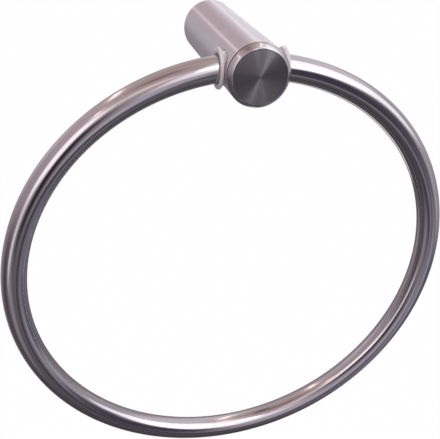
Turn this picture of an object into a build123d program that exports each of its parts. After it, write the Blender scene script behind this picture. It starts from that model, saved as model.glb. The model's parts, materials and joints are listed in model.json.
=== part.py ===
from build123d import *
from math import degrees, sqrt
import os

# Towel ring on a round wall post, in millimetres.
# The origin is the centre of the post's wall face. +Y points into the wall, +X to the
# right as seen from the room and +Z up, so the post stands out along -Y.
# The ring hangs straight down and swings about the cross bore near the post's front end.

# Ring: a bent rod whose two ends meet inside the post, on a pin in their drilled ends
ring_radius = 87.0  # to the rod's centreline
ring_rod_diameter = 9.5
ring_end_gap = 0.6
joint_pin_diameter = 4.0
joint_pin_length = 16.0
joint_pin_clearance = 0.05
joint_pin_room = 0.5  # between the pin and the bottom of its hole

# Post: a round tube with a cross bore for the ring
post_diameter = 22.2
post_wall = 2.0
swing_reach = 60.4  # from the wall to the axis that the ring swings about
front_wall = 2.0  # metal left between the cross bore and the front end of the tube
edge_break = 0.2

# Bushes: a thin round flange outside the post and a sleeve through its wall
bush_wall = 0.7
ring_clearance = 0.15  # least gap between the curved ring and the straight bush bore
bush_clearance = 0.2  # between the sleeve and the cross bore
flange_lip = 1.2  # the flange's rim beyond the sleeve
flange_thickness = 1.1
flange_gap = 0.1
sleeve_overhang = 3.0  # how far the sleeve reaches in past the thickness of the wall
bush_lead_in = 0.3

# Front cap: a plug inside the tube, a short land, a bevel and a flat turned face
cap_land = 1.75
cap_bevel_depth = 1.6
cap_bevel_width = 1.4
cap_plug_clearance = 0.05
cap_plug_room = 0.6  # between the plug and the bush sleeves behind it

# Wall boss: held by one countersunk wall screw, with a groove for the grub screw
boss_clearance = 0.15
screw_hole_diameter = 5.2
countersink_diameter = 10.4
countersink_angle = 90.0

# Grub screw: headless, with a hexagon socket, under the post near the wall
grub_reach = 6.0  # from the wall to the screw's axis
grub_diameter = 4.0
grub_length = 4.0
grub_sunk = 0.4
grub_chamfer = 0.35
grub_clearance = 0.05
groove_clearance = 0.3
socket_across_flats = 2.0
socket_depth = 1.6

# Places along the bush, measured from the middle of the post along the swing axis
post_radius = post_diameter / 2
post_bore_radius = post_radius - post_wall
bush_seat = post_radius + flange_gap
bush_outer_end = bush_seat + flange_thickness
bush_inner_end = bush_seat - post_wall - sleeve_overhang

# The ring is curved and the bush bore is straight, so the ring's centreline runs from
# half its rise below the swing axis at the flange to half its rise above it inside.
rod_radius = ring_rod_diameter / 2
height_at_flange = sqrt(ring_radius**2 - bush_outer_end**2)
height_inside = sqrt(ring_radius**2 - bush_inner_end**2)
ring_drop = (height_at_flange + height_inside) / 2
ring_rise = height_inside - height_at_flange
ring_top = ring_radius - ring_drop
ring_centre = (0, -swing_reach, -ring_drop)
ring_axis = Axis(ring_centre, (0, 1, 0))

# Radii about the swing axis
swing_axis = Axis((0, -swing_reach, 0), (1, 0, 0))
bush_bore_radius = rod_radius + ring_rise / 2 + ring_clearance
sleeve_radius = bush_bore_radius + bush_wall
flange_radius = sleeve_radius + flange_lip
cross_bore_radius = sleeve_radius + bush_clearance

# Places along the post, measured out from the wall
tube_length = swing_reach + cross_bore_radius + front_wall
plug_end = swing_reach + sleeve_radius + cap_plug_room
land_end = tube_length + cap_land
face_reach = land_end + cap_bevel_depth

os.makedirs("parts", exist_ok=True)


# Post tube
with BuildPart() as post_tube:
    with BuildSketch(Plane.XZ):
        Circle(post_radius)
        Circle(post_bore_radius, mode=Mode.SUBTRACT)
    extrude(amount=tube_length)
    chamfer(post_tube.edges().filter_by(GeomType.CIRCLE).group_by(SortBy.RADIUS)[-1], edge_break)
    with BuildSketch(Plane.YZ):
        with Locations((-swing_reach, 0)):
            Circle(cross_bore_radius)
    extrude(amount=post_diameter, both=True, mode=Mode.SUBTRACT)
    with BuildSketch(Plane.XY):
        with Locations((0, -grub_reach)):
            Circle(grub_diameter / 2 + grub_clearance)
    extrude(amount=-post_diameter, mode=Mode.SUBTRACT)
post_tube.part.label = "post_tube"
export_step(post_tube.part, "parts/post_tube.step")

# Front cap, turned about the post's axis
with BuildPart() as front_cap:
    plug_radius = post_bore_radius - cap_plug_clearance
    with BuildSketch(Plane.XY):
        with BuildLine():
            Polyline(
                (0, -plug_end),
                (plug_radius - edge_break, -plug_end),
                (plug_radius, -plug_end - edge_break),
                (plug_radius, -tube_length),
                (post_radius - edge_break, -tube_length),
                (post_radius, -tube_length - edge_break),
                (post_radius, -land_end),
                (post_radius - cap_bevel_width, -face_reach),
                (0, -face_reach),
                close=True,
            )
        make_face()
    revolve(axis=Axis.Y)
front_cap.part.label = "front_cap"
export_step(front_cap.part, "parts/front_cap.step")

# Right bush, turned about the swing axis, with a lead-in at the mouth of its bore
with BuildPart() as right_bush:
    with BuildSketch(Plane.XZ.offset(swing_reach)):
        with BuildLine():
            Polyline(
                (bush_inner_end, bush_bore_radius),
                (bush_outer_end - bush_lead_in, bush_bore_radius),
                (bush_outer_end, bush_bore_radius + bush_lead_in),
                (bush_outer_end, flange_radius),
                (bush_seat, flange_radius),
                (bush_seat, sleeve_radius),
                (bush_inner_end, sleeve_radius),
                close=True,
            )
        make_face()
    revolve(axis=swing_axis)
    rims = right_bush.edges().filter_by(GeomType.CIRCLE).group_by(SortBy.RADIUS)[-1]
    chamfer(rims.sort_by(Axis.X)[-1], flange_thickness / 4)
right_bush.part.label = "right_bush"
export_step(right_bush.part, "parts/right_bush.step")

# Left bush, the same piece turned to face the other way
with BuildPart() as left_bush:
    mirror(right_bush.part, about=Plane.YZ)
left_bush.part.label = "left_bush"
export_step(left_bush.part, "parts/left_bush.step")

# Ring, bent from one end to the other with the gap between them at its top
with BuildPart() as ring:
    half_gap = degrees(ring_end_gap / ring_radius) / 2
    up = Vector(0, 0, 1).rotate(Axis.Y, half_gap)
    along = Vector(1, 0, 0).rotate(Axis.Y, half_gap)
    with BuildSketch(Plane(origin=ring_centre, x_dir=up, z_dir=along)):
        with Locations((ring_radius, 0)):
            Circle(rod_radius)
    revolve(axis=ring_axis, revolution_arc=360 - 2 * half_gap)
    with BuildSketch(Plane.YZ):
        with Locations((-swing_reach, ring_top)):
            Circle(joint_pin_diameter / 2 + joint_pin_clearance)
    extrude(amount=joint_pin_length / 2 + joint_pin_room, both=True, mode=Mode.SUBTRACT)
ring.part.label = "ring"
export_step(ring.part, "parts/ring.step")

# Pin in the drilled ends of the ring
with BuildPart() as ring_joint_pin:
    with BuildSketch(Plane.YZ):
        with Locations((-swing_reach, ring_top)):
            Circle(joint_pin_diameter / 2)
    extrude(amount=joint_pin_length / 2, both=True)
ring_joint_pin.part.label = "ring_joint_pin"
export_step(ring_joint_pin.part, "parts/ring_joint_pin.step")

# Wall boss, turned about the post's axis, with its countersink facing the room
with BuildPart() as wall_boss:
    boss_length = 2 * grub_reach
    boss_radius = post_bore_radius - boss_clearance
    groove_half_width = grub_diameter / 2 + groove_clearance
    groove_radius = post_radius - grub_sunk - grub_length - grub_clearance
    with BuildSketch(Plane.XY):
        with BuildLine():
            Polyline(
                (0, 0),
                (boss_radius, 0),
                (boss_radius, groove_half_width - grub_reach),
                (groove_radius, groove_half_width - grub_reach),
                (groove_radius, -groove_half_width - grub_reach),
                (boss_radius, -groove_half_width - grub_reach),
                (boss_radius, -boss_length),
                (0, -boss_length),
                close=True,
            )
        make_face()
    revolve(axis=Axis.Y)
    with Locations(wall_boss.faces().sort_by(Axis.Y)[0]):
        CounterSinkHole(
            radius=screw_hole_diameter / 2,
            counter_sink_radius=countersink_diameter / 2,
            counter_sink_angle=countersink_angle,
        )
wall_boss.part.label = "wall_boss"
export_step(wall_boss.part, "parts/wall_boss.step")

# Grub screw, its flat point in the boss's groove and its socket facing down
with BuildPart() as grub_screw:
    screw_plane = Plane(origin=(0, -grub_reach, grub_sunk - post_radius))
    with BuildSketch(screw_plane):
        Circle(grub_diameter / 2)
    extrude(amount=grub_length)
    chamfer(grub_screw.edges().filter_by(GeomType.CIRCLE), grub_chamfer)
    with BuildSketch(screw_plane):
        RegularPolygon(socket_across_flats / 2, 6, major_radius=False)
    extrude(amount=socket_depth, mode=Mode.SUBTRACT)
grub_screw.part.label = "grub_screw"
export_step(grub_screw.part, "parts/grub_screw.step")
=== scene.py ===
# %% [markdown]
# # A towel ring in satin steel
# The real object is a bent steel rod that hangs in two white bushes through a short round
# wall post. This lesson dresses its CAD model in Blender. The CAD parts arrive as a fixed
# frame in metres, +Y into the wall, +X to the right and +Z up, so every new piece is made
# where the CAD says and nothing has to be fitted by eye.

# %% Load the CAD frame
import bpy
import bmesh
import json
from math import atan2, cos, hypot, pi, radians, sin, tan
from mathutils import Matrix, Vector

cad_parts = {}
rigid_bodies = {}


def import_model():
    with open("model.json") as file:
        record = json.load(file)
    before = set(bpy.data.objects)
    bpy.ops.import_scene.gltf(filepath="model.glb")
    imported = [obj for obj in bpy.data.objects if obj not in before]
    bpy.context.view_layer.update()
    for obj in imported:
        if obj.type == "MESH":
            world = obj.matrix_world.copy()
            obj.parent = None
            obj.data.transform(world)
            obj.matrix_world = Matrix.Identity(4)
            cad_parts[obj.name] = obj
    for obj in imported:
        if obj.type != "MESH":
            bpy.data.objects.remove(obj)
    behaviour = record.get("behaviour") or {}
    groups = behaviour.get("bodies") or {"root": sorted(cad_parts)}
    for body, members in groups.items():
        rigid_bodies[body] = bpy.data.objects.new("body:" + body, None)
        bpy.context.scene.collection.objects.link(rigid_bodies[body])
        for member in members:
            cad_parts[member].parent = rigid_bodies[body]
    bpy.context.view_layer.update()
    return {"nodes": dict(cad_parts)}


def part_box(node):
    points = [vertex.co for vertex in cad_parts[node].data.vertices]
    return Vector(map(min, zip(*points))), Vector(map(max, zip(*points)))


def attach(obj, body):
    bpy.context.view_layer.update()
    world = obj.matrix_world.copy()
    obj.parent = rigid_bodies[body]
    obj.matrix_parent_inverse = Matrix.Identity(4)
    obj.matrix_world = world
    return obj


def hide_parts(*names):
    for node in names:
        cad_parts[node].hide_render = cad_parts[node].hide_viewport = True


for leftover in list(bpy.data.objects):
    bpy.data.objects.remove(leftover)
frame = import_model()
print("CAD nodes:", sorted(frame["nodes"]))

# %% [markdown]
# ## Camera
# The picture looks down on the ring from the room, a little from the left. The position and
# the angles below were worked out from the outlines of the ring and the post in the
# photograph. A camera could also be aimed with a constraint, but plain numbers stay put.

# %% Place the camera
PHOTO_LENS = 52.03
SENSOR_WIDTH = 36.0
PHOTO_PLACE = (-0.0673, -0.2675, 0.0619)
PHOTO_ANGLES = (60.515, -2.827, -14.400)
camera_data = bpy.data.cameras.new("photo_camera")
camera_data.sensor_width = SENSOR_WIDTH
camera_data.lens = PHOTO_LENS
camera = bpy.data.objects.new("photo_camera", camera_data)
camera.location = PHOTO_PLACE
camera.rotation_euler = [radians(angle) for angle in PHOTO_ANGLES]
bpy.context.scene.collection.objects.link(camera)
bpy.context.scene.camera = camera
print("camera", PHOTO_LENS, "mm at", PHOTO_PLACE)

# %% [markdown]
# ## From bmesh to a finished piece
# Every new piece ends in the same steps: doubles are merged, the normals are made to point
# outwards, sharp edges are marked by their angle so that the rest shades smoothly, and the
# piece is told which body it moves with and which CAD node it stands for.

# %% Helper that finishes a piece
SHARP_ANGLE = radians(40)
MERGE_DISTANCE = 1e-7


def finish_piece(name, bm, body, node):
    """Makes an object of a bmesh, riding on a body in place of a CAD node."""
    bmesh.ops.remove_doubles(bm, verts=bm.verts, dist=MERGE_DISTANCE)
    bmesh.ops.recalc_face_normals(bm, faces=bm.faces)
    for face in bm.faces:
        face.smooth = True
    mesh = bpy.data.meshes.new(name)
    bm.to_mesh(mesh)
    bm.free()
    mesh.set_sharp_from_angle(angle=SHARP_ANGLE)
    piece = bpy.data.objects.new(name, mesh)
    bpy.context.scene.collection.objects.link(piece)
    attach(piece, body)
    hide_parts(node)
    print(name, "has", len(mesh.polygons), "faces and stands for", node)
    return piece


# %% [markdown]
# ## The ring
# The ring is a 9.5 mm rod bent into a circle, and its two ends meet on a pin inside the post.
# A torus primitive would be quick, but it has no ends. Here a circle is spun round the ring's
# centre and stops just short of a full turn, as the bending machine leaves it. Each end face
# is then inset and pushed in for the pin's hole.

# %% Bend the rod
SWING_REACH = 0.0604
RING_RADIUS = 0.087
ROD_RADIUS = 0.00475
ROD_SIDES = 48
BEND_STEPS = 360
END_GAP = 0.0006
END_GAP_ANGLE = END_GAP / RING_RADIUS
PIN_HOLE_RADIUS = 0.00205
PIN_HOLE_DEPTH = 0.0085
ring_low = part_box("ring")[0]
ring_centre = Vector((0, -SWING_REACH, ring_low.z + RING_RADIUS + ROD_RADIUS))

rod = bmesh.new()
ring_top = ring_centre + Vector((0, 0, RING_RADIUS))
first_end = Matrix.Translation(ring_top) @ Matrix.Rotation(pi / 2, 4, "Y")
half_gap = Matrix.Rotation(END_GAP_ANGLE / 2, 3, "Y")
bmesh.ops.create_circle(rod, segments=ROD_SIDES, radius=ROD_RADIUS, matrix=first_end)
bmesh.ops.rotate(rod, verts=rod.verts, cent=ring_centre, matrix=half_gap)
bmesh.ops.spin(rod, geom=rod.verts[:] + rod.edges[:], cent=ring_centre, axis=(0, 1, 0),
               angle=2 * pi - END_GAP_ANGLE, steps=BEND_STEPS)
rims = [edge for edge in rod.edges if edge.is_boundary]
ends = bmesh.ops.holes_fill(rod, edges=rims, sides=0)["faces"]
bmesh.ops.recalc_face_normals(rod, faces=rod.faces)
print("rod ends closed:", len(ends))

# %% [markdown]
# ## Drilling the ends and laying out the brushing
# The satin of the ring runs along the rod, so its material needs to know which way that is.
# Object coordinates can't say it on a bent rod. A UV map can: u counts millimetres along the
# rod and v millimetres around it, both taken from each corner's own angle.

# %% Drill the ends and unroll the rod
MILLIMETRES = 1000
bmesh.ops.inset_region(rod, faces=ends, thickness=ROD_RADIUS - PIN_HOLE_RADIUS)
for end in ends:
    inwards = end.normal * -PIN_HOLE_DEPTH
    hole_bottom = bmesh.ops.extrude_discrete_faces(rod, faces=[end])["faces"][0]
    bmesh.ops.translate(rod, verts=hole_bottom.verts, vec=inwards)


def unrolled(corner):
    """Angle along the ring from its top, and angle around the rod, of one point."""
    from_centre = corner - ring_centre
    along = atan2(from_centre.x, from_centre.z)
    around = atan2(from_centre.y, hypot(from_centre.x, from_centre.z) - RING_RADIUS)
    return along, around


def next_to(angle, neighbour):
    """The same angle, a turn more or less, so that it lies near its neighbour."""
    return angle - 2 * pi * round((angle - neighbour) / (2 * pi))


brush_map = rod.loops.layers.uv.new("brush")
for face in rod.faces:
    first_along, first_around = unrolled(face.loops[0].vert.co)
    for loop in face.loops:
        along, around = unrolled(loop.vert.co)
        u = next_to(along, first_along) * RING_RADIUS
        v = next_to(around, first_around) * ROD_RADIUS
        loop[brush_map].uv = (u * MILLIMETRES, v * MILLIMETRES)
ring = finish_piece("ring_rod", rod, "ring", "ring")

# %% [markdown]
# ## Turned pieces
# The cap and the bushes are lathe work. The same is done here: an outline of a few points is
# drawn from the axis outwards and spun a full turn. The edges are rounded afterwards with
# bevel, because a real edge is never quite sharp and its thin highlight is what the eye sees.

# %% Helpers for lathe work
LATHE_STEPS = 128
ON_CIRCLE = 1e-6


def turned(outline, axis_point, axis, outwards):
    """Spins a closed outline of (along, radius) points about an axis."""
    bm = bmesh.new()
    corners = []
    for along, radius in outline:
        corners.append(bm.verts.new(axis_point + axis * along + outwards * radius))
    for corner, following in zip(corners, corners[1:] + corners[:1]):
        bm.edges.new((corner, following))
    bmesh.ops.spin(bm, geom=bm.verts[:] + bm.edges[:], cent=axis_point, axis=axis,
                   angle=2 * pi, steps=LATHE_STEPS, use_merge=True)
    bmesh.ops.remove_doubles(bm, verts=bm.verts, dist=MERGE_DISTANCE)
    bmesh.ops.recalc_face_normals(bm, faces=bm.faces)
    return bm


def circle_edges(bm, axis_point, axis, along, radius):
    """The edges of one circle of a turned piece."""
    found = []
    for edge in bm.edges:
        places = []
        for vert in edge.verts:
            offset = vert.co - axis_point
            depth = offset.dot(axis)
            places.append(abs(depth - along) + abs((offset - axis * depth).length - radius))
        if max(places) < ON_CIRCLE:
            found.append(edge)
    return found


def round_edges(bm, edges, width, segments):
    """Rounds edges with a bevel of this width."""
    bmesh.ops.bevel(bm, geom=edges, offset=width, offset_type="OFFSET", affect="EDGES",
                    segments=segments, profile=0.5, material=-1)


# %% [markdown]
# ## The front cap
# A turned plug closes the front of the post. A short land continues the tube, a narrow groove
# just behind the bevel makes the dark joint line, and the bevel leads to the flat face. The line
# could be painted on, but a groove stays dark from every side; its steel is also painted nearly
# black, as painted shade inside the groove. The visible edges are rounded by about a tenth of a
# millimetre.

# %% Turn the front cap
OUT_OF_WALL = Vector((0, -1, 0))
RIGHT = Vector((1, 0, 0))
UP = Vector((0, 0, 1))
WALL_CENTRE = Vector((0, 0, 0))
POST_RADIUS = 0.0111
PLUG_RADIUS = 0.00905
EDGE_BREAK = 0.0002
GROOVE_SETBACK = 0.00035
GROOVE_WIDTH = 0.0009
GROOVE_DEPTH = 0.0008
CAP_LAND = 0.00175
CAP_BEVEL_WIDTH = 0.0014
GROOVE_ROUND = 0.00006
BEVEL_ROUND = 0.00012
FACE_ROUND = 0.00015
CAP_ROUND_SEGMENTS = 3
plug_end = -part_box("front_cap")[1].y
joint_line = -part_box("post_tube")[0].y
land_end = joint_line + CAP_LAND
groove_end = land_end - GROOVE_SETBACK
groove_start = groove_end - GROOVE_WIDTH
groove_floor = POST_RADIUS - GROOVE_DEPTH
face_reach = -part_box("front_cap")[0].y
face_radius = POST_RADIUS - CAP_BEVEL_WIDTH

cap = turned([
    (plug_end, 0),
    (plug_end, PLUG_RADIUS - EDGE_BREAK),
    (plug_end + EDGE_BREAK, PLUG_RADIUS),
    (joint_line, PLUG_RADIUS),
    (joint_line, POST_RADIUS),
    (groove_start, POST_RADIUS),
    (groove_start, groove_floor),
    (groove_end, groove_floor),
    (groove_end, POST_RADIUS),
    (land_end, POST_RADIUS),
    (face_reach, face_radius),
    (face_reach, 0),
], WALL_CENTRE, OUT_OF_WALL, RIGHT)
for along, radius, width in (
    (groove_start, POST_RADIUS, GROOVE_ROUND),
    (groove_end, POST_RADIUS, GROOVE_ROUND),
    (land_end, POST_RADIUS, BEVEL_ROUND),
    (face_reach, face_radius, FACE_ROUND),
):
    circle = circle_edges(cap, WALL_CENTRE, OUT_OF_WALL, along, radius)
    round_edges(cap, circle, width, CAP_ROUND_SEGMENTS)
front_cap = finish_piece("cap_turned", cap, "post", "front_cap")

# %% [markdown]
# ## The bushes
# Two milky nylon bushes line the cross bore, so that steel doesn't run on steel. Each has a
# thin flange outside the post and a sleeve through its wall. A washer and a tube would do, but
# one spun outline has no seam between them. Moulded plastic has soft edges, so both rims of the
# flange are well rounded.

# %% Mould the two bushes
SWING_POINT = Vector((0, -SWING_REACH, 0))
BUSH_BORE_RADIUS = 0.005227
BUSH_LEAD_IN = 0.0003
SLEEVE_RADIUS = 0.005927
FLANGE_THICKNESS = 0.0011
FLANGE_ROUND = 0.0004
FLANGE_ROUND_SEGMENTS = 4


def bush(name, node, outwards_along_ring):
    """One flanged bush, its flange facing along the given direction."""
    low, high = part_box(node)
    flange_radius = (high.z - low.z) / 2
    inner_end = min(abs(low.x), abs(high.x))
    outer_end = max(abs(low.x), abs(high.x))
    seat = outer_end - FLANGE_THICKNESS
    bm = turned([
        (inner_end, BUSH_BORE_RADIUS),
        (outer_end - BUSH_LEAD_IN, BUSH_BORE_RADIUS),
        (outer_end, BUSH_BORE_RADIUS + BUSH_LEAD_IN),
        (outer_end, flange_radius),
        (seat, flange_radius),
        (seat, SLEEVE_RADIUS),
        (inner_end, SLEEVE_RADIUS),
    ], SWING_POINT, outwards_along_ring, UP)
    for along in (outer_end, seat):
        rim = circle_edges(bm, SWING_POINT, outwards_along_ring, along, flange_radius)
        round_edges(bm, rim, FLANGE_ROUND, FLANGE_ROUND_SEGMENTS)
    return finish_piece(name, bm, "post", node)


right_bush = bush("bush_right", "right_bush", RIGHT)
left_bush = bush("bush_left", "left_bush", -RIGHT)

# %% [markdown]
# ## Shared finishes
# Two effects are on more than one metal here, so each is a node group with named sockets.
# Turning marks are fine rings that follow the lathe tool: along the post they change with y,
# across the cap's face with the distance from the axis, so the group adds the two and feeds a
# one-dimensional noise. Rubbed patches are the slow, cloudy changes that hands and polishing
# leave in any satin surface.

# %% Helpers for nodes
def add_node(tree, kind, **inputs):
    """A node with some of its inputs set by name, spaces written as underscores."""
    node = tree.nodes.new(kind)
    for name, value in inputs.items():
        node.inputs[name.replace("_", " ")].default_value = value
    return node


def new_group(name, sockets_in, sockets_out):
    """An empty node group with float or vector sockets."""
    tree = bpy.data.node_groups.new(name, "ShaderNodeTree")
    for socket, kind in sockets_in:
        tree.interface.new_socket(socket, in_out="INPUT", socket_type=kind)
    for socket, kind in sockets_out:
        tree.interface.new_socket(socket, in_out="OUTPUT", socket_type=kind)
    return tree, tree.nodes.new("NodeGroupInput"), tree.nodes.new("NodeGroupOutput")


def math_node(tree, operation, first, second):
    """A Math node from sockets or numbers."""
    node = tree.nodes.new("ShaderNodeMath")
    node.operation = operation
    for index, value in enumerate((first, second)):
        if isinstance(value, (int, float)):
            node.inputs[index].default_value = value
        else:
            tree.links.new(value, node.inputs[index])
    return node.outputs[0]


# %% Turning marks
turning, given, made = new_group(
    "turning_marks",
    [("Vector", "NodeSocketVector"), ("Marks per metre", "NodeSocketFloat")],
    [("Mark", "NodeSocketFloat")])
parts = add_node(turning, "ShaderNodeSeparateXYZ")
turning.links.new(given.outputs["Vector"], parts.inputs["Vector"])
across = math_node(turning, "MULTIPLY", parts.outputs["X"], parts.outputs["X"])
upward = math_node(turning, "MULTIPLY", parts.outputs["Z"], parts.outputs["Z"])
distance = math_node(turning, "SQRT", math_node(turning, "ADD", across, upward), 0)
feed = math_node(turning, "ADD", distance, parts.outputs["Y"])
place = math_node(turning, "MULTIPLY", feed, given.outputs["Marks per metre"])
grooves = add_node(turning, "ShaderNodeTexNoise", Scale=1.0, Detail=3.0, Roughness=0.6)
grooves.noise_dimensions = "1D"
turning.links.new(place, grooves.inputs["W"])
turning.links.new(grooves.outputs["Fac"], made.inputs["Mark"])
print("node group:", turning.name)

# %% Rubbed patches
rubbing, given, made = new_group(
    "rubbed_patches",
    [("Vector", "NodeSocketVector"), ("Patches per metre", "NodeSocketFloat")],
    [("Patch", "NodeSocketFloat")])
clouds = add_node(rubbing, "ShaderNodeTexNoise", Detail=4.0, Roughness=0.55)
rubbing.links.new(given.outputs["Vector"], clouds.inputs["Vector"])
rubbing.links.new(given.outputs["Patches per metre"], clouds.inputs["Scale"])
rubbing.links.new(clouds.outputs["Fac"], made.inputs["Patch"])
print("node group:", rubbing.name)

# %% [markdown]
# ## Steel
# All the metal is stainless steel, painted in tones as the picture shows it: the ring has the plain
# tone, the turned post is painted paler as painted sheen, the finely grooved face darker as painted
# shade and the joint groove nearly black as painted shade inside it. A Principled shader with
# Metallic 1 does the reflection, its Anisotropic value stretches it across the marks, and a Tangent
# node says which way they run. On the cap's face the marks are circles, so a bright window shows
# there as two opposite wedges.

# %% Helpers for values on a surface
def place_group(tree, group, vector, density_name, density):
    """A shared node group in a material, with its own density."""
    node = tree.nodes.new("ShaderNodeGroup")
    node.node_tree = group
    tree.links.new(vector, node.inputs["Vector"])
    node.inputs[density_name].default_value = density
    return node.outputs[0]


def mix_values(tree, factor, low, high):
    """A value that goes from low to high with the factor."""
    node = tree.nodes.new("ShaderNodeMapRange")
    node.inputs["To Min"].default_value = low
    node.inputs["To Max"].default_value = high
    tree.links.new(factor, node.inputs["Value"])
    return node.outputs["Result"]


# %% Helper for a steel
LINE_SHARE = 0.6
PATCH_SHARE = 0.4
RELIEF_DEPTH = 0.00002


def steel(name, tones, lines, patches, roughness, anisotropic, rotation, tangent, bump):
    """A finished steel from its line pattern, its patches and the direction of its marks."""
    material = bpy.data.materials.new(name)
    material.use_nodes = True
    tree = material.node_tree
    shader = tree.nodes["Principled BSDF"]
    coordinates = tree.nodes.new("ShaderNodeTexCoord")
    line = lines(tree, coordinates)
    patch = patches(tree, coordinates)
    line_part = math_node(tree, "MULTIPLY", line, LINE_SHARE)
    patch_part = math_node(tree, "MULTIPLY", patch, PATCH_SHARE)
    tone = math_node(tree, "ADD", line_part, patch_part)
    colour = tree.nodes.new("ShaderNodeMix")
    colour.data_type = "RGBA"
    colour.inputs["A"].default_value = tones[0]
    colour.inputs["B"].default_value = tones[1]
    tree.links.new(tone, colour.inputs["Factor"])
    tree.links.new(colour.outputs["Result"], shader.inputs["Base Color"])
    tree.links.new(mix_values(tree, patch, *roughness), shader.inputs["Roughness"])
    shader.inputs["Metallic"].default_value = 1.0
    shader.inputs["Anisotropic"].default_value = anisotropic
    shader.inputs["Anisotropic Rotation"].default_value = rotation
    tree.links.new(tangent(tree).outputs["Tangent"], shader.inputs["Tangent"])
    relief = add_node(tree, "ShaderNodeBump", Strength=bump, Distance=RELIEF_DEPTH)
    tree.links.new(line, relief.inputs["Height"])
    tree.links.new(relief.outputs["Normal"], shader.inputs["Normal"])
    return material


# %% Directions of the marks
def radial_tangent(tree):
    """Marks around the post's axis."""
    node = tree.nodes.new("ShaderNodeTangent")
    node.direction_type = "RADIAL"
    node.axis = "Y"
    return node


def brush_tangent(tree):
    """Marks along the rod, from its UV map."""
    node = tree.nodes.new("ShaderNodeTangent")
    node.direction_type = "UV_MAP"
    node.uv_map = "brush"
    return node


# %% Patterns of the marks
BRUSH_STRETCH = (0.05, 9.0, 1.0)


def turned_lines(marks_per_metre):
    """A line pattern of turning marks, this many to the metre."""
    def make(tree, coordinates):
        place = coordinates.outputs["Object"]
        return place_group(tree, turning, place, "Marks per metre", marks_per_metre)
    return make


def clouds_of(patches_per_metre):
    """A pattern of rubbed patches, this many to the metre."""
    def make(tree, coordinates):
        place = coordinates.outputs["Object"]
        return place_group(tree, rubbing, place, "Patches per metre", patches_per_metre)
    return make


def brushed_lines(tree, coordinates):
    """Long thin lines on the rod's own map, in millimetres."""
    stretch = tree.nodes.new("ShaderNodeMapping")
    stretch.inputs["Scale"].default_value = BRUSH_STRETCH
    tree.links.new(coordinates.outputs["UV"], stretch.inputs["Vector"])
    noise = add_node(tree, "ShaderNodeTexNoise", Scale=1.0, Detail=3.0, Roughness=0.6)
    noise.noise_dimensions = "2D"
    tree.links.new(stretch.outputs["Vector"], noise.inputs["Vector"])
    return noise.outputs["Fac"]


# %% The steels
RING_TONES = ((0.43, 0.415, 0.42, 1), (0.54, 0.52, 0.53, 1))
# The post's paler tones are painted sheen, lighter than the ring's to stand for brighter reflections.
POST_PAINTED_SHEEN_TONES = ((0.56, 0.55, 0.57, 1), (0.68, 0.665, 0.69, 1))
# The face's dark tones are painted shade on the same steel.
FACE_PAINTED_SHADE_TONES = ((0.15, 0.143, 0.15, 1), (0.22, 0.212, 0.22, 1))
# The groove's near-black tones are painted shade inside the joint groove.
GROOVE_PAINTED_SHADE_TONES = ((0.07, 0.055, 0.055, 1), (0.13, 0.11, 0.11, 1))
QUARTER_TURN = 0.25
satin_ring = steel(
    "satin_ring_steel", RING_TONES, brushed_lines, clouds_of(60), roughness=(0.105, 0.16),
    anisotropic=0.3, rotation=0.0, tangent=brush_tangent, bump=0.06)
satin_post_painted_sheen = steel(
    "satin_post_painted_sheen_steel", POST_PAINTED_SHEEN_TONES, turned_lines(9000), clouds_of(90), roughness=(0.26, 0.32),
    anisotropic=0.9, rotation=QUARTER_TURN, tangent=radial_tangent, bump=0.1)
turned_face_painted_shade = steel(
    "turned_face_painted_shade_steel", FACE_PAINTED_SHADE_TONES, turned_lines(7000), clouds_of(120), roughness=(0.37, 0.40),
    anisotropic=1.0, rotation=QUARTER_TURN, tangent=radial_tangent, bump=0.12)
turned_rim = steel(
    "turned_rim_steel", RING_TONES, turned_lines(7000), clouds_of(120), roughness=(0.16, 0.2),
    anisotropic=0.5, rotation=QUARTER_TURN, tangent=radial_tangent, bump=0.06)
groove_painted_shade_steel = steel(
    "groove_painted_shade_steel", GROOVE_PAINTED_SHADE_TONES, turned_lines(3000), clouds_of(300), roughness=(0.5, 0.65),
    anisotropic=0.0, rotation=0.0, tangent=radial_tangent, bump=0.2)
plain_steel = steel(
    "plain_turned_steel", RING_TONES, turned_lines(3000), clouds_of(200), roughness=(0.3, 0.42),
    anisotropic=0.4, rotation=QUARTER_TURN, tangent=radial_tangent, bump=0.2)
for finish in (satin_ring, satin_post_painted_sheen, turned_face_painted_shade, turned_rim, groove_painted_shade_steel, plain_steel):
    print(finish.name, "has", len(finish.node_tree.nodes), "nodes")

# %% [markdown]
# ## Which steel goes where
# The ring has one finish. The cap was turned in one piece, but it shows four: the face, the rim
# around it, the joint groove, and behind that the finish of the post. They could be four meshes.
# One mesh with four material slots stays closed, and each polygon's place and direction say
# which slot it takes. The CAD nodes keep their shape and only get a better material.

# %% Steel on its pieces
FACE_SLOT, RIM_SLOT, POST_SLOT, GROOVE_SLOT = range(4)
FACES_THE_ROOM = 0.95
SLACK = 0.0001
ring.data.materials.append(satin_ring)
# The face and the groove take steels with painted shade, the post's part the steel with painted sheen.
for finish in (turned_face_painted_shade, turned_rim, satin_post_painted_sheen, groove_painted_shade_steel):
    front_cap.data.materials.append(finish)
for polygon in front_cap.data.polygons:
    along = polygon.center.dot(OUT_OF_WALL)
    off_axis = hypot(polygon.center.x, polygon.center.z)
    if along > land_end:
        flat = polygon.normal.dot(OUT_OF_WALL) > FACES_THE_ROOM
        polygon.material_index = FACE_SLOT if flat else RIM_SLOT
    # Faces inside the groove take the steel with painted shade.
    elif off_axis < POST_RADIUS - SLACK:
        polygon.material_index = GROOVE_SLOT
    else:
        polygon.material_index = RIM_SLOT if along > groove_end - SLACK else POST_SLOT
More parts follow.
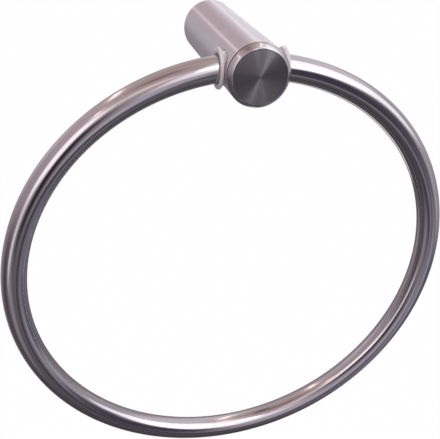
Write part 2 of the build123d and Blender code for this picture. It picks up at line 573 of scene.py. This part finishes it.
# The post tube takes the steel with painted sheen.
frame["nodes"]["post_tube"].material_slots[0].material = satin_post_painted_sheen
for node in ("wall_boss", "grub_screw", "ring_joint_pin"):
    frame["nodes"][node].material_slots[0].material = plain_steel
print("cap finishes:", [finish.name for finish in front_cap.data.materials])

# %% [markdown]
# ## Milky nylon
# Unfilled nylon lets light some way in and spreads it, so its edges glow and its middle stays
# milky. A glass-like transmission would be too clear. Subsurface scattering with a radius of
# about two millimetres, the same for every colour, gives that, and a slow noise makes the faint
# clouds of a moulding.

# %% Nylon
MILK_TONES = ((0.71, 0.635, 0.64, 1), (0.82, 0.755, 0.76, 1))
MILK_ROUGHNESS = (0.32, 0.46)
MILK_PATCHES = 350
SCATTER_WEIGHT = 0.85
SCATTER_RADIUS = 0.0022
nylon = bpy.data.materials.new("milky_nylon")
nylon.use_nodes = True
tree = nylon.node_tree
shader = tree.nodes["Principled BSDF"]
coordinates = tree.nodes.new("ShaderNodeTexCoord")
milk = place_group(tree, rubbing, coordinates.outputs["Object"], "Patches per metre", MILK_PATCHES)
tint = tree.nodes.new("ShaderNodeMix")
tint.data_type = "RGBA"
tint.inputs["A"].default_value = MILK_TONES[0]
tint.inputs["B"].default_value = MILK_TONES[1]
tree.links.new(milk, tint.inputs["Factor"])
tree.links.new(tint.outputs["Result"], shader.inputs["Base Color"])
tree.links.new(mix_values(tree, milk, *MILK_ROUGHNESS), shader.inputs["Roughness"])
shader.inputs["Subsurface Weight"].default_value = SCATTER_WEIGHT
shader.inputs["Subsurface Radius"].default_value = [SCATTER_RADIUS] * 3
shader.inputs["Subsurface Scale"].default_value = 1.0
for piece in (left_bush, right_bush):
    piece.data.materials.append(nylon)
print(nylon.name, "on", left_bush.name, "and", right_bush.name)

# %% [markdown]
# ## Studio
# A pale floor and a white surround are the background. A Light Path node makes them white for the
# camera and in mirror images, and plainer as a light on surfaces, so that the background doesn't
# wash out the object. Lamps strong enough to make the floor white would burn out the pale nylon.

# %% White surround
SURROUND_LIGHT = 0.24


def background_share(tree):
    """1 for rays from the camera and in mirror images or glass, 0 for light on surfaces."""
    path = tree.nodes.new("ShaderNodeLightPath")
    seen = math_node(tree, "MAXIMUM", path.outputs["Is Camera Ray"], path.outputs["Is Glossy Ray"])
    return math_node(tree, "MAXIMUM", seen, path.outputs["Is Transmission Ray"])


world = bpy.data.worlds.new("white_surround")
world.use_nodes = True
bpy.context.scene.world = world
surround = world.node_tree.nodes["Background"]
surround.inputs["Color"].default_value = (1, 1, 1, 1)
tree = world.node_tree
strength = mix_values(tree, background_share(tree), SURROUND_LIGHT, 1.0)
tree.links.new(strength, surround.inputs["Strength"])
print(world.name, "lights surfaces with", SURROUND_LIGHT)

# %% Pale floor
FLOOR_DROP = 1.1
FLOOR_SIZE = 12
FLOOR_TONE = (0.9, 0.9, 0.9, 1)
FLOOR_ROUGHNESS = 0.8
FLOOR_WHITENESS = 0.99
floor_bm = bmesh.new()
bmesh.ops.create_grid(floor_bm, x_segments=1, y_segments=1, size=FLOOR_SIZE)
bmesh.ops.translate(floor_bm, verts=floor_bm.verts, vec=(0, 0, -FLOOR_DROP))
floor_mesh = bpy.data.meshes.new("floor")
floor_bm.to_mesh(floor_mesh)
floor_bm.free()
floor = bpy.data.objects.new("floor", floor_mesh)
bpy.context.scene.collection.objects.link(floor)

pale = bpy.data.materials.new("pale_floor")
pale.use_nodes = True
tree = pale.node_tree
shader = tree.nodes["Principled BSDF"]
shader.inputs["Base Color"].default_value = FLOOR_TONE
shader.inputs["Roughness"].default_value = FLOOR_ROUGHNESS
white = add_node(tree, "ShaderNodeEmission", Strength=1.0)
blend = tree.nodes.new("ShaderNodeMixShader")
tree.links.new(mix_values(tree, background_share(tree), 0.0, FLOOR_WHITENESS), blend.inputs[0])
tree.links.new(shader.outputs["BSDF"], blend.inputs[1])
tree.links.new(white.outputs["Emission"], blend.inputs[2])
tree.links.new(blend.outputs["Shader"], tree.nodes["Material Output"].inputs["Surface"])
floor_mesh.materials.append(pale)
print("floor", FLOOR_DROP, "m under the post")

# %% [markdown]
# ## The tent
# Satin steel is mostly a picture of what stands around it. Here that is a tent of grey cloth,
# darker below than above. A round opening low behind the ring lets the white floor show. A plain
# white room would be simpler, but a rod that mirrors only white has no bands. The tent and what
# stands in it show in mirror images only, the same for every piece, so the camera still sees the
# white background.

# %% Helpers for the studio
studio_centre = Vector((0, -0.05, -0.06))


def direction(azimuth, elevation):
    """Unit vector from the ring. Azimuth 0 is straight into the room and 90 to the right."""
    turn, rise = radians(azimuth), radians(elevation)
    return Vector((sin(turn) * cos(rise), -cos(turn) * cos(rise), sin(rise)))


def mirrored_only(name, bm):
    """A stage piece that only mirror images show, with its node tree and its glow."""
    mesh = bpy.data.meshes.new(name)
    bm.to_mesh(mesh)
    bm.free()
    cloth = bpy.data.materials.new(name)
    cloth.use_nodes = True
    tree = cloth.node_tree
    glow = add_node(tree, "ShaderNodeEmission", Strength=1.0)
    tree.links.new(glow.outputs["Emission"], tree.nodes["Material Output"].inputs["Surface"])
    mesh.materials.append(cloth)
    piece = bpy.data.objects.new(name, mesh)
    bpy.context.scene.collection.objects.link(piece)
    piece.visible_camera = False
    piece.visible_diffuse = False
    piece.visible_transmission = False
    piece.visible_shadow = False
    print(name, "has", len(mesh.polygons), "faces")
    return tree, glow


# %% Tent
TENT_RADIUS = 1.0
TENT_OPENING = (168, -53)
OPENING_HALF_ANGLE = radians(12)
TENT_BOTTOM_TONE = (0.10, 0.095, 0.105, 1)
TENT_TOP_TONE = (0.77, 0.61, 0.60, 1)
tent = bmesh.new()
bmesh.ops.create_uvsphere(tent, u_segments=64, v_segments=32, radius=TENT_RADIUS,
                          matrix=Matrix.Translation(studio_centre))
opening = direction(*TENT_OPENING)
bmesh.ops.bisect_plane(tent, geom=tent.verts[:] + tent.edges[:] + tent.faces[:],
                       plane_co=studio_centre + opening * TENT_RADIUS * cos(OPENING_HALF_ANGLE),
                       plane_no=opening, clear_outer=True)
tree, glow = mirrored_only("tent_cloth", tent)
coordinates = tree.nodes.new("ShaderNodeTexCoord")
parts = tree.nodes.new("ShaderNodeSeparateXYZ")
tree.links.new(coordinates.outputs["Object"], parts.inputs["Vector"])
height = add_node(tree, "ShaderNodeMapRange", From_Min=studio_centre.z - TENT_RADIUS,
                  From_Max=studio_centre.z + TENT_RADIUS)
tree.links.new(parts.outputs["Z"], height.inputs["Value"])
shade = tree.nodes.new("ShaderNodeValToRGB")
tree.links.new(height.outputs["Result"], shade.inputs["Fac"])
tree.links.new(shade.outputs["Color"], glow.inputs["Color"])
shade.color_ramp.elements[0].color = TENT_BOTTOM_TONE
shade.color_ramp.elements[1].color = TENT_TOP_TONE
for elevation, tone in (
    (-60, (0.105, 0.10, 0.115)),
    (-42, (0.158, 0.143, 0.165)),
    (-25, (0.32, 0.275, 0.31)),
    (-8, (0.43, 0.37, 0.405)),
    (8, (0.555, 0.475, 0.515)),
    (24, (0.67, 0.56, 0.60)),
    (48, (0.77, 0.62, 0.63)),
    (66, (0.65, 0.49, 0.48)),
):
    shade.color_ramp.elements.new((sin(radians(elevation)) + 1) / 2).color = (*tone, 1)
print("tent shades:", len(shade.color_ramp.elements))

# %% [markdown]
# ## Screens
# Windows, tables and dark cards around the ring make the bright and dark bands in the steel. Area
# lamps could be the windows, but they can't be dark and their edges are hard. Each screen is a
# grid laid on a sphere around the ring, and it fades out towards its edges, because a hard edge
# draws a line in the steel. The middle of the key window is much brighter than the rest, and the
# turned face spreads it into a bow-tie.

# %% Helpers for cards with soft edges
CARD_COLUMNS = 24
CARD_ROWS = 12
MAP_MIDDLE = 0.5


def between(ends, share):
    """The number that lies this share of the way between two ends."""
    return ends[0] + (ends[1] - ends[0]) * share


def soft_edges(tree, softness):
    """A mask on a card's own map, 1 in its middle and 0 at its edges."""
    card_map = tree.nodes.new("ShaderNodeSeparateXYZ")
    tree.links.new(tree.nodes.new("ShaderNodeTexCoord").outputs["UV"], card_map.inputs["Vector"])
    fades = []
    for side in ("X", "Y"):
        from_middle = math_node(tree, "SUBTRACT", card_map.outputs[side], MAP_MIDDLE)
        off_middle = math_node(tree, "ABSOLUTE", from_middle, 0)
        fade = add_node(tree, "ShaderNodeMapRange", From_Min=MAP_MIDDLE, From_Max=MAP_MIDDLE - softness)
        fade.interpolation_type = "SMOOTHSTEP"
        tree.links.new(off_middle, fade.inputs["Value"])
        fades.append(fade.outputs["Result"])
    return math_node(tree, "MULTIPLY", *fades)


def card(name, place, tone, softness):
    """A glowing card with soft edges. place() puts a point of its map into the studio."""
    bm = bmesh.new()
    bm.loops.layers.uv.new("card")
    bmesh.ops.create_grid(bm, x_segments=CARD_COLUMNS, y_segments=CARD_ROWS, size=MAP_MIDDLE,
                          calc_uvs=True)
    for vert in bm.verts:
        vert.co = place(vert.co.x + MAP_MIDDLE, vert.co.y + MAP_MIDDLE)
    tree, glow = mirrored_only(name, bm)
    glow.inputs["Color"].default_value = (*tone, 1)
    clear = tree.nodes.new("ShaderNodeBsdfTransparent")
    edge = tree.nodes.new("ShaderNodeMixShader")
    tree.links.new(soft_edges(tree, softness), edge.inputs[0])
    tree.links.new(clear.outputs["BSDF"], edge.inputs[1])
    tree.links.new(glow.outputs["Emission"], edge.inputs[2])
    tree.links.new(edge.outputs["Shader"], tree.nodes["Material Output"].inputs["Surface"])


# %% Screens, the farthest first
def screen(name, azimuths, elevations, tone, softness, distance):
    """A curved card between two azimuths and two elevations as seen from the ring."""
    def place(across, upwards):
        towards = direction(between(azimuths, across), between(elevations, upwards))
        return studio_centre + towards * distance
    card(name, place, tone, softness)


# name, azimuths, elevations, tone, softness, distance
screen("white_back", (136, 180), (0, 62), (0.98, 0.92, 0.98), 0.3, 0.95)
screen("grey_back_left", (-172, -112), (-64, 6), (0.47, 0.425, 0.465), 0.4, 0.95)
screen("light_back_left", (-162, -112), (-14, 36), (0.86, 0.79, 0.86), 0.45, 0.94)
screen("light_right", (66, 152), (16, 70), (1.02, 0.98, 1.03), 0.25, 0.94)
screen("grey_right", (84, 146), (-14, 30), (0.61, 0.59, 0.65), 0.35, 0.93)
screen("slate_table", (22, 150), (-60, -22), (0.27, 0.265, 0.33), 0.15, 0.92)
screen("dark_table", (50, 120), (-52, -21), (0.135, 0.13, 0.165), 0.4, 0.91)
screen("lilac_table_edge", (46, 100), (-30, 8), (0.61, 0.58, 0.68), 0.4, 0.90)
screen("brown_upper_left", (-100, -20), (54, 86), (0.35, 0.245, 0.235), 0.45, 0.92)
screen("dark_lower_left", (-114, -54), (-62, 6), (0.12, 0.10, 0.115), 0.45, 0.93)
screen("mauve_lower_left", (-64, -14), (-58, -16), (0.43, 0.38, 0.44), 0.42, 0.92)
screen("cream_rim", (-14, 140), (58, 86), (1.3, 1.11, 1.02), 0.45, 0.92)
screen("key_window", (-3, 94), (10, 70), (2.05, 2.0, 2.16), 0.16, 0.90)
screen("key_window_low", (54, 92), (-2, 30), (1.75, 1.7, 1.88), 0.4, 0.895)
screen("key_window_core", (28, 60), (20, 46), (12.0, 11.6, 12.6), 0.45, 0.893)
screen("left_window_low", (-64, -42), (-34, 12), (1.2, 1.1, 1.2), 0.3, 0.90)
screen("left_window", (-69, -30), (-6, 44), (2.0, 1.82, 1.95), 0.28, 0.895)
screen("pink_band", (-48, 2), (28, 50), (1.35, 1.1, 1.1), 0.45, 0.89)
screen("dark_front_right", (20, 64), (-31, 20), (0.11, 0.105, 0.135), 0.42, 0.86)
screen("dark_front", (12, 38), (-36, 17), (0.07, 0.066, 0.105), 0.18, 0.85)
screen("light_middle_top", (-10, 12), (0, 44), (1.55, 1.43, 1.55), 0.33, 0.53)
screen("middle_strip", (0, 9), (28, 54), (9.0, 8.5, 9.0), 0.42, 0.525)
screen("light_middle", (-6, 12.5), (-33, 12), (0.70, 0.65, 0.77), 0.16, 0.51)
screen("lilac_table_near", (27, 62), (-46, -18), (0.52, 0.49, 0.58), 0.42, 0.50)
screen("lilac_table_front", (14, 40), (-36, -28), (0.40, 0.38, 0.46), 0.3, 0.35)
screen("dark_low_front", (-2, 17), (-49, -32), (0.07, 0.066, 0.1), 0.3, 0.42)
screen("dark_front_left", (-44, -12.5), (-38, 30), (0.04, 0.032, 0.042), 0.32, 0.39)

# %% [markdown]
# ## Ceiling tubes
# A thin straight lamp that runs parallel to the post shows in it as one thin straight streak. A
# narrow screen could do it, but a screen is curved, and so its streak would be. Two long tubes run
# back from the ring, and two short ones hang over the room.

# %% Ceiling tubes
TUBE_THICKNESS = 0.07
TUBE_SOFTNESS = 0.4


def tube(name, sideways, height, along_post, tone):
    """A straight ceiling tube, parallel to the post, at this place beside and above the ring."""
    axis_place = RIGHT * sideways + UP * height
    thickness = TUBE_THICKNESS * axis_place.cross(OUT_OF_WALL).normalized()

    def place(along, across):
        out = OUT_OF_WALL * between(along_post, along)
        return studio_centre + axis_place + out + thickness * (across - MAP_MIDDLE)
    card(name, place, tone, TUBE_SOFTNESS)


# name, place to the side, height, both ends along the post, tone
tube("warm_tube_left", -0.60, 0.59, (0.12, 0.42), (3.6, 2.95, 2.5))
tube("warm_tube_top", 0.21, 0.82, (-0.02, 0.26), (3.6, 3.05, 2.6))
tube("long_tube_left", -0.332, 0.434, (-0.85, 0.0), (3.4, 2.7, 2.5))
tube("long_tube_top", 0.166, 0.532, (-0.85, 0.0), (3.6, 3.1, 3.0))

# %% [markdown]
# ## Soft lamps
# Two wide rectangular lamps light the nylon and the floor, one from the side of each window. A
# point lamp would cast a hard shadow. The steel doesn't mirror them, because it already mirrors
# the windows.

# %% Soft lamps
LAMP_DISTANCE = 0.8


def soft_lamp(name, azimuth, elevation, wide, high, brightness, colour):
    """A rectangular lamp that looks this many degrees wide and high from the ring."""
    data = bpy.data.lights.new(name, "AREA")
    data.shape = "RECTANGLE"
    data.size = 2 * LAMP_DISTANCE * tan(radians(wide / 2))
    data.size_y = 2 * LAMP_DISTANCE * tan(radians(high / 2))
    data.energy = brightness * pi * data.size * data.size_y
    data.color = colour
    towards = direction(azimuth, elevation)
    lamp = bpy.data.objects.new(name, data)
    lamp.location = studio_centre + towards * LAMP_DISTANCE
    lamp.rotation_euler = towards.to_track_quat("Z", "Y").to_euler()
    lamp.visible_camera = False
    lamp.visible_glossy = False
    bpy.context.scene.collection.objects.link(lamp)
    print(name, round(data.energy, 2), "W")


soft_lamp("key_lamp", azimuth=43, elevation=46, wide=66, high=44, brightness=1.7,
          colour=(1.0, 0.98, 1.0))
soft_lamp("left_lamp", azimuth=-60, elevation=50, wide=44, high=40, brightness=1.9,
          colour=(1.0, 0.95, 0.98))

# %% [markdown]
# ## Colour management
# The Standard view transform keeps colours as they are written.

# %% Finish
bpy.context.scene.view_settings.view_transform = "Standard"
